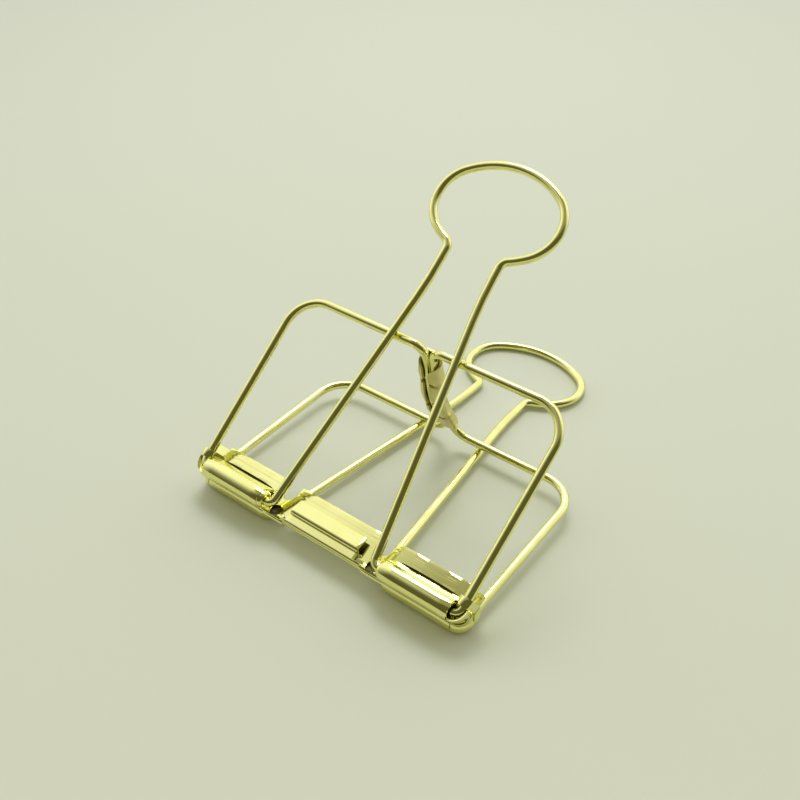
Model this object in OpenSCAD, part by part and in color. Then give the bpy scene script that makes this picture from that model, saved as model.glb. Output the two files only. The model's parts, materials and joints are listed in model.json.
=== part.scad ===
// Wire-frame letter clip: two folded sheet jaws, a sprung frame of two bent wires
// held together at the spine by a crimped sleeve, and two looped wire handles.
//
// The clip is built about its mouth: X runs along the jaws, Y from the mouth to the
// spine and Z through the clip, with the paper plane at z = 0 and the front jaw above
// it. It is then leant back about X, so that it lies on its rear jaw and rear handle.

/* [Wire] */
// Diameter of the wire of the frame and the handles
wire_d = 1.4; // [1.2:0.05:1.6]
// Radius of the wire's middle where a foot turns into a jaw
foot_bend = 1.1; // [0.9:0.1:1.3]
// Length of each foot, from the middle of its leg to its tip
foot_l = 5; // [4.5:0.5:5.5]

/* [Frame] */
// Distance between the middles of the frame's legs at the jaws
leg_span = 49; // [40:0.5:60]
// How far each front leg leans outward between its foot and its shoulder
front_flare = 0.6; // [-1:0.1:1.5]
// How far each rear leg leans outward between its foot and its shoulder
rear_flare = -0.3; // [-1:0.1:1.5]
// Distance from the feet to the rails, along the paper plane
frame_depth = 30; // [24:0.5:40]
// Distance between the middles of the front rail and the rear rail
spine_h = 21.8; // [18:0.1:30]
// Radius of the frame's corners
shoulder_r = 5.5; // [3:0.5:7]
// Radius of the bend from a rail into the spine
spine_bend = 2.2; // [1.5:0.1:3]

/* [Jaws] */
// Thickness of the jaws' sheet
sheet = 0.4; // [0.3:0.05:0.45]
// Outer diameter of the rolled edge that holds the feet
roll_d = 3.2; // [2.9:0.1:3.6]
// Gap between the two rolled edges when the clip is shut
mouth_gap = 0.1; // [0.04:0.02:0.3]
// Depth of a jaw's pad behind the middle of the rolled edge
pad_depth = 5; // [4:0.1:7]
// Width of the raised fold in the middle of a jaw
fold_w = 12.8; // [10:0.2:14]
// Width of the folded lip under the raised fold
lip_w = 15.2; // [13:0.2:15.6]
// Height of the raised fold above the paper plane
fold_h = 1.9; // [1.6:0.1:2.4]
// Depth of the raised fold behind the middle of the rolled edge
fold_depth = 2.6; // [2:0.1:3.2]
// How far the folded lip reaches in front of the middle of the rolled edge
lip_reach = 1.5; // [1.3:0.1:1.8]
// Slope of the face between the folded lip and the raised fold, in degrees
lip_slope = 40; // [34:1:60]
// Length of the narrowed end of a roll, in which a handle's foot turns
collar_l = 2.2; // [1.8:0.2:3]
// Length at each end of a roll where its tail is pressed shut on the pad
closed_l = 1.8; // [1:0.2:3]
// Width of the notch in a pad behind each handle's leg
notch_w = 2.6; // [2:0.1:3]
// Distance from the middle of the rolled edge to the floor of each notch
notch_floor = 1.1; // [0.9:0.1:2]
// Diameter of the relief hole in front of each notch
relief_d = 1.4; // [1:0.1:1.6]
// Length of the strap round each frame leg, above its foot
strap_l = 2.5; // [2:0.1:3.5]

/* [Spine sleeve] */
// Length of the sleeve round the two wires of the spine
sleeve_l = 14.6; // [12:0.2:16.6]
// Thickness of the sleeve
sleeve_t = 0.4; // [0.3:0.05:0.6]
// Width of the gap between the sleeve's left and right tabs
tab_gap = 0.8; // [0.4:0.1:1]
// How far that gap lies to the left of the middle
tab_shift = 0.4; // [0:0.1:0.4]
// Height of the break between two tabs of one side
tab_break = 0.5; // [0.3:0.1:0.8]

/* [Handles] */
// Distance between the middles of a handle's legs at the jaw
pivot_span = 19.6; // [18:0.2:22]
// Distance between the middles of a handle's legs at the loop
neck_span = 9.5; // [7:0.1:12]
// Length of a handle, from the middle of its feet to the middle of its loop's crown
handle_length = 62.1; // [52:0.1:76]
// Length of the parallel stretch of the legs, next to the loop
parallel_l = 5.42; // [5:0.02:12]
// Radius of the gentle turn where the legs become parallel
waist_r = 60; // [30:1:80]
// Radius of the sharp turn from a leg into the loop
neck_r = 1.6; // [1.2:0.1:2]
// Width of the loop, over the middle of its wire
loop_w = 21.8; // [18:0.2:28]
// Height of the loop, over the middle of its wire
loop_h = 15.4; // [14.4:0.1:18]
// Radius of the loop's two sides
loop_side_r = 6.2; // [5:0.1:6.6]

/* [Fits] */
// Gap round a handle's foot in the narrowed end of its roll
foot_clearance = 0.05; // [0.02:0.01:0.09]
// Gap round a frame wire in its strap and in the sleeve
wire_clearance = 0.04; // [0.02:0.01:0.1]
// Gap between a bend and the end of the roll that its foot goes into
end_play = 0.1; // [0.05:0.05:0.3]
// Gap between a handle and the rail that it rests on
rest_gap = 0.06; // [0.02:0.01:0.2]
// Gap between the two ends of a rail that turn on one another
rail_gap = 0.02; // [0.01:0.01:0.1]

/* [Hidden] */

gold = [0.86, 0.83, 0.45];
dark_gold = [0.74, 0.70, 0.34];
wire_r = wire_d / 2;
wire_fn = 48;
bend_fn = 96;

// A bend is this much fuller than a straight run and laps it, so that they join cleanly.
bend_swell = 0.004;
bend_lap = 0.03;

// Jaw section: the roll and the pad share one sheet, whose middle is half a sheet up.
roll_r = roll_d / 2;
roll_z = mouth_gap / 2 + roll_r;
pad_z = mouth_gap / 2 + sheet / 2;
roll_middle_r = roll_r - sheet / 2;
roll_stop_a = 30;
tail_gap = 0.3;
tail_sink = 0.05;
arc_step = 10;
cradle_stop_a = -138;
sheet_lap = 1;
lip_r = 0.35;
fold_r = 0.45;
lip_cut = 0.62 * fold_h;

// Places along the jaws
leg_x = leg_span / 2;
pivot_x = pivot_span / 2;
roll_out_x = leg_x - foot_bend - end_play;
roll_in_x = pivot_x + foot_bend + end_play;
collar_out = 0.7;
collar_r = roll_r - sheet / 3;
collar_nose = 0.45;
collar_nose_l = 1.1;
foot_bore_r = wire_r + foot_clearance;
gap_mid_x = (lip_w / 2 + roll_in_x) / 2;
relief_y = -0.12;

// Straps: their inside just clears the wire, and the hoop starts past the foot's bend.
strap_in = wire_r + wire_clearance;
strap_out = strap_in + sheet;
hoop_y = wire_r + 0.45;
half_open_a = 100;

// Frame: each side leans away from the paper plane, up to its rail.
rail_z = spine_h / 2;
frame_rise = rail_z - roll_z;
frame_lean = atan2(frame_rise, frame_depth);
frame_l = norm([frame_depth, frame_rise]);
rail_stub = 0.5;
spine_x = wire_r + wire_clearance;

// Handles: the loop is an oval of four arcs, two side arcs and two flatter caps.
handle_lean = frame_lean + asin((wire_d + rest_gap) / frame_l);
neck_x = neck_span / 2;
loop_y = handle_length - loop_h / 2;
side_x = loop_w / 2 - loop_side_r;
cap_r = (pow(side_x, 2) + pow(loop_h / 2, 2) - pow(loop_side_r, 2)) / (loop_h - 2 * loop_side_r);
cap_offset = cap_r - loop_h / 2;
cap_join_a = atan2(cap_offset, side_x);
neck_mid_x = neck_x + neck_r;
neck_mid_y = loop_y + cap_offset - sqrt(pow(cap_r + neck_r, 2) - pow(neck_mid_x, 2));
neck_a = atan2(loop_y + cap_offset - neck_mid_y, neck_mid_x);
waist_y = neck_mid_y - parallel_l;

// Sleeve: a channel whose tabs close over the wires on the side of the mouth.
sleeve_in_x = 2 * spine_x + wire_clearance;
sleeve_in_y = wire_r + wire_clearance;
sleeve_r = sleeve_in_y;
sleeve_lift = 0.2;
left_breaks = [-0.28, 0.06];
right_breaks = [-0.22, 0.1];

// Lying down: the rear roll and the rear loop both touch the surface.
lie_a = handle_lean - asin((roll_r - wire_r) / handle_length);
rear_roll_y = roll_z * sin(lie_a);
low_z = -roll_z * cos(lie_a) - roll_r;
back_y = rear_roll_y + handle_length * cos(handle_lean - lie_a) + wire_r;
front_y = -rear_roll_y - roll_r;
origin_y = (front_y + back_y) / 2;

function unit(v) = v / norm(v);
function heading(a, b) = atan2(b[1] - a[1], b[0] - a[0]);
function wrapped(a) = a > 180 ? a - 360 : a < -180 ? a + 360 : a;
function turn(p, i) = wrapped(heading(p[i], p[i + 1]) - heading(p[i - 1], p[i]));

// Distance from a corner of path p to the start of its rounding, 0 at the ends
function setback(p, r, i) =
    i == 0 || i == len(p) - 1 ? 0 : r[i - 1] * tan(abs(turn(p, i)) / 2);

// Middle of the rounding of corner i of path p
function bend_middle(p, r, i) =
    let (h = heading(p[i - 1], p[i]), side = turn(p, i) > 0 ? 1 : -1)
    p[i] - setback(p, r, i) * [cos(h), sin(h)] + side * r[i - 1] * [-sin(h), cos(h)];

// Points round an arc, from one angle to another
function arc_points(middle, radius, from, to) =
    let (count = max(1, round(abs(to - from) / arc_step)))
    [for (i = [0 : count]) let (a = from + (to - from) * i / count)
        middle + radius * [cos(a), sin(a)]];

// Points of path p with its corners rounded to the radii r
function rounded(p, r) = [
    p[0],
    for (i = [1 : len(p) - 2])
        let (t = turn(p, i), a = heading(p[i - 1], p[i]) - (t > 0 ? 90 : -90))
        each arc_points(bend_middle(p, r, i), r[i - 1], a, a + t),
    p[len(p) - 1]
];

// Outline of a bent sheet of thickness t whose middle runs through the points q
function sheet_outline(q, t) = let (last = len(q) - 1) concat(
    [for (i = [0 : last]) q[i] + sheet_normal(q, i, last) * t / 2],
    [for (i = [last : -1 : 0]) q[i] - sheet_normal(q, i, last) * t / 2]);
function sheet_normal(q, i, last) =
    let (before = unit(q[max(i, 1)] - q[max(i, 1) - 1]),
        after = unit(q[min(i, last - 1) + 1] - q[min(i, last - 1)]),
        along = unit(before + after))
    [-along[1], along[0]] / (along * before);

// Straight run of wire in the XY plane
module wire_run(from, to) {
    translate([from[0], from[1], 0]) rotate([0, 0, heading(from, to) - 90]) rotate([-90, 0, 0])
        cylinder(h = norm(to - from), r = wire_r, $fn = wire_fn);
}

// Arc of wire in the XY plane; a full one laps the runs on both sides of it
module wire_arc(middle, radius, start, sweep, full = true) {
    lap_a = full ? bend_lap / radius * 180 / PI : 0;
    translate([middle[0], middle[1], 0]) rotate([0, 0, start - lap_a])
        rotate_extrude(angle = sweep + 2 * lap_a, $fn = bend_fn) translate([radius, 0])
            circle(r = wire_r + (full ? bend_swell : 0), $fn = wire_fn);
}

// Wire along path p in the XY plane, with its corners bent to the radii r
module wire_path(p, r) {
    for (i = [0 : len(p) - 2]) {
        along = unit(p[i + 1] - p[i]);
        wire_run(p[i] + along * setback(p, r, i), p[i + 1] - along * setback(p, r, i + 1));
    }
    for (i = [1 : len(p) - 2]) {
        t = turn(p, i);
        h = heading(p[i - 1], p[i]);
        wire_arc(bend_middle(p, r, i), r[i - 1], t > 0 ? h - 90 : h + 90 + t, abs(t));
    }
}

// Turns a section drawn in the YZ plane into a bar that runs along X
module along_x(from, to) {
    translate([from, 0, 0]) rotate([90, 0, 90]) linear_extrude(height = to - from) children();
}

// Tilts what is built about the middle of the front roll, as the frame or a handle leans
module leaning(angle) {
    translate([0, 0, roll_z]) rotate([angle, 0, 0]) children();
}

// Lays the shut clip on its rear side, with the origin under the middle of its box
module lying() {
    translate([0, -origin_y, -low_z]) rotate([lie_a, 0, 0]) children();
}

module both_sides() {
    children();
    mirror([1, 0, 0]) children();
}

// A roll, from the pad round the front to a tail that stops above the pad
module roll_section(gap) {
    foot_arc = arc_points([0, roll_z], roll_middle_r, -90, -360 + roll_stop_a);
    stop = foot_arc[len(foot_arc) - 1];
    tail_drop = stop[1] - sheet / 2 * sin(roll_stop_a) - mouth_gap / 2 - sheet - gap;
    tip = stop + tail_drop / cos(roll_stop_a) * [sin(roll_stop_a), -cos(roll_stop_a)];
    polygon(sheet_outline(concat([[sheet_lap, pad_z]], foot_arc, [tip]), sheet));
}

// The open gutter between a roll and the raised fold
module cradle_section() {
    lower_arc = arc_points([0, roll_z], roll_middle_r, -90, cradle_stop_a);
    polygon(sheet_outline(concat([[sheet_lap, pad_z]], lower_arc), sheet));
}

// The folded lip and the raised fold, as one strip
module fold_section() {
    fold_z = fold_h - sheet / 2;
    lip_y = lip_r + sheet / 2 - lip_reach - lip_r * tan(90 - lip_slope / 2);
    fold_y = lip_y + (fold_z - pad_z) / tan(lip_slope);
    strip = [[sheet_lap, pad_z], [lip_y, pad_z], [fold_y, fold_z], [fold_depth, fold_z]];
    polygon(sheet_outline(rounded(strip, [lip_r, fold_r]), sheet));
}

// The lip alone, cut off below the fold
module lip_section() {
    intersection() {
        fold_section();
        translate([-2 * roll_d, 0]) square([2 * roll_d + sheet_lap, lip_cut]);
    }
}

// Narrowed inner end of a roll: a plug with a round nose and the bore for a handle's foot
module collar() {
    nose = arc_points([1, 0], 1, 180, 90);
    translate([roll_in_x, 0, roll_z]) rotate([90, 0, 90]) rotate_extrude($fn = wire_fn)
        polygon(concat(
            [[foot_bore_r, collar_l], [foot_bore_r, 0]],
            [for (p = nose) [collar_r - collar_nose * (1 - p[1]), collar_nose_l * p[0]]],
            [[collar_r, collar_l]]));
}

// Strap along a frame leg: a full hoop above the foot, and an outer half beside it
module strap(flare) {
    side = (strap_in + strap_out) / 2;
    deep = 2 * roll_d;
    hoop = concat([[-side, -deep]], arc_points([0, 0], side, 180, 0), [[side, -deep]]);
    half = concat(arc_points([0, 0], side, half_open_a, 0), [[side, -deep]]);
    leaning(frame_lean) translate([leg_x, 0, 0]) rotate([0, 0, -atan2(flare, frame_l)])
        rotate([-90, 180, 0]) mirror([1, 0, 0]) {
            translate([0, 0, hoop_y]) linear_extrude(height = strap_l - hoop_y)
                polygon(sheet_outline(hoop, sheet));
            translate([0, 0, -wire_r]) linear_extrude(height = strap_l + wire_r)
                polygon(sheet_outline(half, sheet));
        }
}

// End of the pad under a strap
module strap_foot() {
    front = roll_z * sin(frame_lean) - wire_r;
    translate([roll_out_x - sheet_lap, front, mouth_gap / 2])
        cube([leg_x + strap_out - roll_out_x + sheet_lap, strap_l + wire_r, sheet]);
}

module notch() {
    translate([gap_mid_x, 0, -sheet]) {
        translate([0, notch_floor + notch_w / 2, 0])
            cylinder(d = notch_w, h = 3 * sheet, $fn = wire_fn);
        translate([-notch_w / 2, notch_floor + notch_w / 2, 0])
            cube([notch_w, pad_depth, 3 * sheet]);
        translate([0, relief_y, 0]) cylinder(d = relief_d, h = roll_r, $fn = wire_fn);
    }
}

// Front jaw, shut, with its pad on the paper plane
module jaw(flare) {
    difference() {
        union() {
            translate([-roll_out_x, 0, mouth_gap / 2])
                cube([2 * roll_out_x, pad_depth, sheet]);
            along_x(-fold_w / 2, fold_w / 2) fold_section();
            along_x(-lip_w / 2, lip_w / 2) lip_section();
            both_sides() {
                along_x(roll_in_x + collar_out, roll_out_x) roll_section(tail_gap);
                along_x(roll_in_x + collar_out, roll_in_x + collar_out + closed_l)
                    roll_section(-tail_sink);
                along_x(roll_out_x - closed_l, roll_out_x) roll_section(-tail_sink);
                along_x(lip_w / 2 - sheet_lap, roll_in_x + collar_l / 2) cradle_section();
                collar();
                strap_foot();
                intersection() {
                    strap(flare);
                    translate([roll_out_x - sheet_lap, -roll_d, mouth_gap / 2])
                        cube(3 * roll_d);
                }
            }
        }
        both_sides() notch();
    }
}

// One leg of a frame side with its foot in the jaw and its shoulder up to the rail
module frame_leg(flare) {
    path = [[leg_x - foot_l, 0], [leg_x, 0], [leg_x + flare, frame_l], [rail_end_x(flare), frame_l]];
    color(gold) leaning(frame_lean) wire_path(path, [foot_bend, shoulder_r]);
}

// Where the straight rail starts, past the rounding of a shoulder
function rail_end_x(flare) =
    let (corner = [[leg_x, 0], [leg_x + flare, frame_l], [0, frame_l]])
    leg_x + flare - setback(corner, [shoulder_r], 1) - rail_stub;

// One wire of the spine with the two rails that it carries
module spine_wire() {
    front_x = rail_end_x(front_flare) - rail_gap;
    rear_x = rail_end_x(rear_flare) - rail_gap;
    path = [[front_x, rail_z], [spine_x, rail_z], [spine_x, -rail_z], [rear_x, -rail_z]];
    color(gold) translate([0, frame_depth, 0]) rotate([90, 0, 0])
        wire_path(path, [spine_bend, spine_bend]);
}

// Breaks in the tabs of one side, from just inside the gap outward
module tab_breaks(breaks, side) {
    for (place = breaks)
        translate([-tab_shift, -sleeve_in_y - 2 * sleeve_t, place * sleeve_l - tab_break / 2])
            mirror([side < 0 ? 1 : 0, 0, 0])
                cube([2 * sleeve_in_x, sleeve_in_y + 1.5 * sleeve_t, tab_break]);
}

module sleeve_section() {
    x = sleeve_in_x + sleeve_t / 2;
    y = sleeve_in_y + sleeve_t / 2;
    left = [-tab_shift - tab_gap / 2, -y];
    right = [-tab_shift + tab_gap / 2, -y];
    path = [left, [-x, -y], [-x, y], [x, y], [x, -y], right];
    polygon(sheet_outline(rounded(path, [sleeve_r, sleeve_r, sleeve_r, sleeve_r]), sleeve_t));
}

module handle() {
    leg = [[pivot_x + foot_l, 0], [pivot_x, 0], [neck_x, waist_y], [neck_x, neck_mid_y]];
    color(gold) leaning(handle_lean) {
        both_sides() {
            wire_path(leg, [foot_bend, waist_r]);
            wire_arc([neck_mid_x, neck_mid_y], neck_r, 180 - neck_a, neck_a);
            wire_arc([0, loop_y + cap_offset], cap_r, -neck_a, neck_a - cap_join_a, false);
            wire_arc([side_x, loop_y], loop_side_r, -cap_join_a, 2 * cap_join_a);
        }
        wire_arc([0, loop_y - cap_offset], cap_r, cap_join_a, 180 - 2 * cap_join_a, false);
    }
}

module front_jaw() {
    color(gold) lying() jaw(front_flare);
}

module rear_jaw() {
    color(gold) lying() mirror([0, 0, 1]) jaw(rear_flare);
}

module front_right_leg() {
    lying() frame_leg(front_flare);
}

module front_left_leg() {
    lying() mirror([1, 0, 0]) frame_leg(front_flare);
}

module rear_right_leg() {
    lying() mirror([0, 0, 1]) frame_leg(rear_flare);
}

module rear_left_leg() {
    lying() mirror([1, 0, 0]) mirror([0, 0, 1]) frame_leg(rear_flare);
}

module right_spine_wire() {
    lying() spine_wire();
}

module left_spine_wire() {
    lying() mirror([1, 0, 0]) spine_wire();
}

module spine_sleeve() {
    color(dark_gold) lying() translate([0, frame_depth, sleeve_lift]) difference() {
        translate([0, 0, -sleeve_l / 2]) linear_extrude(height = sleeve_l) sleeve_section();
        tab_breaks(right_breaks, 1);
        tab_breaks(left_breaks, -1);
    }
}

module front_handle() {
    lying() handle();
}

module rear_handle() {
    lying() mirror([0, 0, 1]) handle();
}

front_jaw();
rear_jaw();
front_left_leg();
front_right_leg();
rear_left_leg();
rear_right_leg();
left_spine_wire();
right_spine_wire();
spine_sleeve();
front_handle();
rear_handle();
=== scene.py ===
"""A wire-frame letter clip: its visible pieces, their gold plating and a plain studio.

Everything is built round the packed frame. The clip's own space has X along the jaws, Y from
the mouth to the spine and Z from the rear jaw to the front jaw, with its origin between the
two rolled edges. The frame's hinges say where that space lies.
"""

import json
import math

import bmesh
import bpy
from bpy.props import FloatProperty, FloatVectorProperty, IntProperty, PointerProperty
from bpy.types import Operator, Panel, PropertyGroup
from mathutils import Matrix, Vector


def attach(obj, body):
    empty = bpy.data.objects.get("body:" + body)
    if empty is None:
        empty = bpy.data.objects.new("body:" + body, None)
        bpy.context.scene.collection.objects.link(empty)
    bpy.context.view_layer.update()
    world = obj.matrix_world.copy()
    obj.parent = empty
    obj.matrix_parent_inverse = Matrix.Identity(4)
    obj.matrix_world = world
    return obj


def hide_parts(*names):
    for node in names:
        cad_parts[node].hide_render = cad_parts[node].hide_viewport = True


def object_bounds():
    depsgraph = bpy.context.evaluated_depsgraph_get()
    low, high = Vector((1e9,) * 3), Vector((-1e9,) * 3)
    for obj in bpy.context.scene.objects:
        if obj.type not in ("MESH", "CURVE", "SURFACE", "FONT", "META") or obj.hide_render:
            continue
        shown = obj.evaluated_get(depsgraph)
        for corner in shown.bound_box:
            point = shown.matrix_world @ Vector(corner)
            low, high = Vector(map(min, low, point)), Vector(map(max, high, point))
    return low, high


bl_info = {
    "name": "Wire-Frame Letter Clip",
    "version": (1, 0, 0),
    "blender": (4, 5, 0),
    "location": "View3D > Sidebar > Letter Clip",
    "description": "Builds a wire-frame letter clip and its studio round the packed frame",
    "category": "Add Mesh",
}

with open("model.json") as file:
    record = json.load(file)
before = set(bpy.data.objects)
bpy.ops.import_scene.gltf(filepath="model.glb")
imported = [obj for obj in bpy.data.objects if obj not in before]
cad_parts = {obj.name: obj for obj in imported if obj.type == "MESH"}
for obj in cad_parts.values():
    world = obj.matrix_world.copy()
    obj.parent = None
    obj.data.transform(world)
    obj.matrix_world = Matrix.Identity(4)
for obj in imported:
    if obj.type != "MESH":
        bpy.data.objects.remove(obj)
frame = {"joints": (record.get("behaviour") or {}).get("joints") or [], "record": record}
cad_bounds = [list(corner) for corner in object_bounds()]

# The largest turn between two points of a drawn arc
ARC_STEP = math.radians(4)
# Points nearer than this, in metres, count as one
SAME_PLACE = 1e-6
# Length of straight rail that belongs to a leg, past its shoulder
RAIL_STUB = 0.0005
# Faces that meet at less than this angle are shaded as one surface
FLAT_TURN = math.radians(32)
# What turns the right side into each side, and the front side into each side
RIGHT_LEFT = {"right": Matrix.Identity(4), "left": Matrix.Diagonal((-1, 1, 1, 1))}
FRONT_REAR = {"front": Matrix.Identity(4), "rear": Matrix.Diagonal((1, 1, -1, 1))}


# ---------------------------------------------------------------- the clip's own space


def hinge_place(name):
    """Where the axis of a hinge crosses the middle of the clip."""
    return next(Vector(joint["pos_m"]) for joint in frame["joints"] if joint["name"] == name)


front_rail = hinge_place("front_rail_twist")
rear_rail = hinge_place("rear_rail_twist")
front_pivot = hinge_place("front_handle_turn")
rear_pivot = hinge_place("rear_handle_turn")


def clip_space():
    """The matrix from the clip's own space to the row frame."""
    across = Vector((1, 0, 0))
    through = (front_rail - rear_rail).normalized()
    inward = through.cross(across)
    turned = Matrix((across, inward, through)).transposed().to_4x4()
    return Matrix.Translation((front_pivot + rear_pivot) / 2) @ turned


CLIP = clip_space()
ROLL_Z = (front_pivot - rear_pivot).length / 2
RAIL_Z = (front_rail - rear_rail).length / 2
RAIL_Y = (CLIP.inverted() @ front_rail).y
FRAME_LENGTH = math.hypot(RAIL_Y, RAIL_Z - ROLL_Z)
FRAME_LEAN = math.atan2(RAIL_Z - ROLL_Z, RAIL_Y)


def leaning(lean):
    """The plane of a frame side or a handle, hung on the middle of the front roll."""
    return Matrix.Translation((0, 0, ROLL_Z)) @ Matrix.Rotation(lean, 4, "X")


# ---------------------------------------------------------------- sizes and colours


def metres(name, description, default):
    """A size in metres that a user may change."""
    return FloatProperty(name=name, description=description, default=default, unit="LENGTH")


def fraction(name, description, default):
    """A number from 0 to 1 that a user may change."""
    return FloatProperty(name=name, description=description, default=default, min=0, max=1)


def number(name, description, default):
    """A plain number that a user may change."""
    return FloatProperty(name=name, description=description, default=default)


def angle(name, description, degrees):
    """An angle that a user may change."""
    return FloatProperty(
        name=name, description=description, default=math.radians(degrees), unit="ROTATION"
    )


def colour(name, description, default):
    """A colour that a user may change."""
    return FloatVectorProperty(
        name=name, description=description, default=default, subtype="COLOR", min=0, max=1
    )


class WireSizes(PropertyGroup):
    """The wire that the frame and the handles are bent from."""

    diameter: metres("Wire diameter", "Diameter of the spring wire", 0.0014)
    sides: IntProperty(name="Sides", description="Sides of the drawn round", default=32, min=8)
    foot_bend: metres("Foot bend", "Radius where a foot turns into its roll", 0.0011)
    foot: metres("Foot length", "Length of a foot from the middle of its leg", 0.005)
    clearance: metres("Clearance", "Gap round a wire in its strap and in the sleeve", 0.00004)
    bore: metres("Bore gap", "Gap round a handle's foot in its collar", 0.00005)
    play: metres("End play", "Gap between a foot's bend and the end of its roll", 0.0001)
    trim: metres("Trim", "How far its drawn surface lies inside the true one", 0.00001)


class FrameSizes(PropertyGroup):
    """The sprung frame."""

    leg_span: metres("Leg span", "Distance between the legs at the jaws", 0.049)
    front_flare: metres("Front flare", "How far a front leg leans outward", 0.0006)
    rear_flare: metres("Rear flare", "How far a rear leg leans outward", -0.0003)
    shoulder: metres("Shoulder bend", "Radius of the frame's corners", 0.0055)
    front_bend: metres("Front spine bend", "Radius from the front rail to the spine", 0.0022)
    rear_bend: metres("Rear spine bend", "Radius from the rear rail to the spine", 0.0028)
    bow: metres("Spine bow", "How far the sprung spine bows toward the mouth", 0.0012)
    bow_start: metres("Bow start", "From a rail to where the bow starts", 0.0012)
    drawn_step: metres("Drawn step", "Longest straight run drawn on a spine wire", 0.0008)


class JawSizes(PropertyGroup):
    """The folded and rolled sheet of a jaw."""

    sheet: metres("Sheet", "Thickness of the sheet", 0.0004)
    edge: metres("Edge radius", "How far the sheet's sheared edges are rounded", 0.00009)
    pad: metres("Pad depth", "Depth of the pad behind the roll's middle", 0.005)
    rear_tilt: metres("Rear tilt", "How far the pad's rear edge is pressed down", 0.00005)
    roll: metres("Roll diameter", "Outer diameter of the rolled edge", 0.0032)
    closed: metres("Closed end", "Length of a roll's end whose tail lies on the pad", 0.0018)
    taper: metres("Taper", "Length over which the slot under the tail opens", 0.0024)
    tail_gap: metres("Tail gap", "Height of the slot between a roll's tail and the pad", 0.00036)
    end_gap: metres("End gap", "Height of that slot at the ends of a roll", 0.00004)
    groove: metres("Groove", "Width of the groove behind a roll's tail", 0.0007)
    groove_y: metres("Groove place", "From the roll's middle back to the groove's middle", 0.00245)
    groove_inner: metres("Groove inner end", "From the roll's inner end to the groove", 0.0004)
    groove_outer: metres("Groove outer end", "From the groove to the roll's outer end", 0.0006)
    collar: metres("Collar length", "Length of the narrowed inner end of a roll", 0.0022)
    collar_out: metres("Collar reach", "How far the collar stands out of its roll", 0.0007)
    nose: metres("Nose length", "Length of the collar's round nose", 0.0011)
    nose_fall: metres("Nose fall", "How much narrower the nose is at its tip", 0.00045)
    fold_width: metres("Fold width", "Width of the raised fold", 0.0128)
    fold_height: metres("Fold height", "Height of the raised fold above the paper", 0.0019)
    fold_depth: metres("Fold depth", "Depth of the raised fold behind the roll", 0.0028)
    fold_fall: metres("Fold fall", "How far the raised fold falls toward its rear edge", 0.00026)
    fold_front: metres("Fold front", "From the roll's middle to the fold's front face", 0.0003)
    lip_width: metres("Lip width", "Width of the folded lip", 0.0152)
    lip_reach: metres("Lip reach", "How far the lip reaches in front of the roll", 0.0012)
    lip_height: metres("Lip height", "Height of the lip above the paper", 0.00097)
    tight_bend: metres("Tight bend", "Radius of the lip's bends", 0.00022)
    fold_bend: metres("Fold bend", "Radius of the raised fold's front", 0.0004)
    notch: metres("Notch width", "Width of the notch behind a handle's leg", 0.0026)
    notch_floor: metres("Notch floor", "The notch's floor lies 0.9 mm behind this place", 0.0011)
    relief: metres("Relief", "Diameter of the relief in front of a notch", 0.0019)
    relief_y: metres("Relief place", "From the roll's middle to the relief's middle", -0.00015)
    strap: metres("Strap length", "Length of the strap above a frame leg's foot", 0.0025)
    hoop_start: metres("Hoop start", "From the foot's surface to the strap's hoop", 0.00045)


class HandleSizes(PropertyGroup):
    """A looped handle."""

    pivot_span: metres("Pivot span", "Distance between the legs at the jaw", 0.0196)
    neck_span: metres("Neck span", "Distance between the legs at the loop", 0.0095)
    length: metres("Length", "From the feet to the crown of the loop", 0.0621)
    parallel: metres("Parallel stretch", "Length of the legs' parallel stretch", 0.00542)
    waist_bend: metres("Waist bend", "Radius of the gentle turn at the waist", 0.06)
    neck_bend: metres("Neck bend", "Radius of the sharp turn into the loop", 0.0016)
    loop_width: metres("Loop width", "Width of the loop over its wire's middle", 0.0218)
    loop_height: metres("Loop height", "Height of the loop over its wire's middle", 0.0154)
    loop_side: metres("Loop side", "Radius of the loop's sides", 0.0062)
    rest_gap: metres("Rest gap", "Gap between a handle and its rail", 0.00006)


class SleeveSizes(PropertyGroup):
    """The crimped sleeve of the spine."""

    low: metres("Lower end", "Height of its lower end over the paper plane", -0.0076)
    high: metres("Upper end", "Height of its upper end over the paper plane", 0.0094)
    thickness: metres("Thickness", "Thickness of the sleeve", 0.0004)
    corner: metres("Corner", "Radius of its folded corners", 0.00074)
    left_edge: metres("Left tabs' edge", "From the middle to the left tabs' edge", 0.00093)
    right_edge: metres("Right tabs' edge", "From the middle to the right tabs' edge", 0.00002)
    tab_break: metres("Tab break", "Height of the break between two tabs", 0.0005)
    slant: metres("Slant", "Height over which the tabs' upper ends are cut away", 0.0012)
    seam_side: metres("Seam side", "Width of the back panel left beside that cut", 0.0011)
    bulge: metres("Bulge", "How far each tab swells between its breaks", 0.0002)


class PlatingLook(PropertyGroup):
    """The gold plating."""

    bright: colour("Bright gold", "Colour of the plating", (0.88, 0.87, 0.38))
    deep: colour("Deep gold", "Colour where the plating is thin", (0.82, 0.79, 0.28))
    crimped: colour("Crimped gold", "Colour of the worked sleeve", (0.6, 0.58, 0.12))
    # Painted shade: this dark colour and the roughness below stand in for the shade inside the
    # rolls, grooves and reliefs and under the raised fold
    inside: colour("Inside", "Colour of the metal inside rolls and folds", (0.12, 0.1, 0.035))
    wire_gloss: fraction("Wire roughness", "Roughness of the wire", 0.1)
    sheet_gloss: fraction("Sheet roughness", "Roughness of the sheet", 0.11)
    crimp_gloss: fraction("Crimp roughness", "Roughness of the sleeve", 0.26)
    inside_gloss: fraction("Inside roughness", "Roughness inside rolls and folds", 0.6)
    bump: fraction("Bump", "Strength of the streaks and the pits", 0.05)


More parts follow.
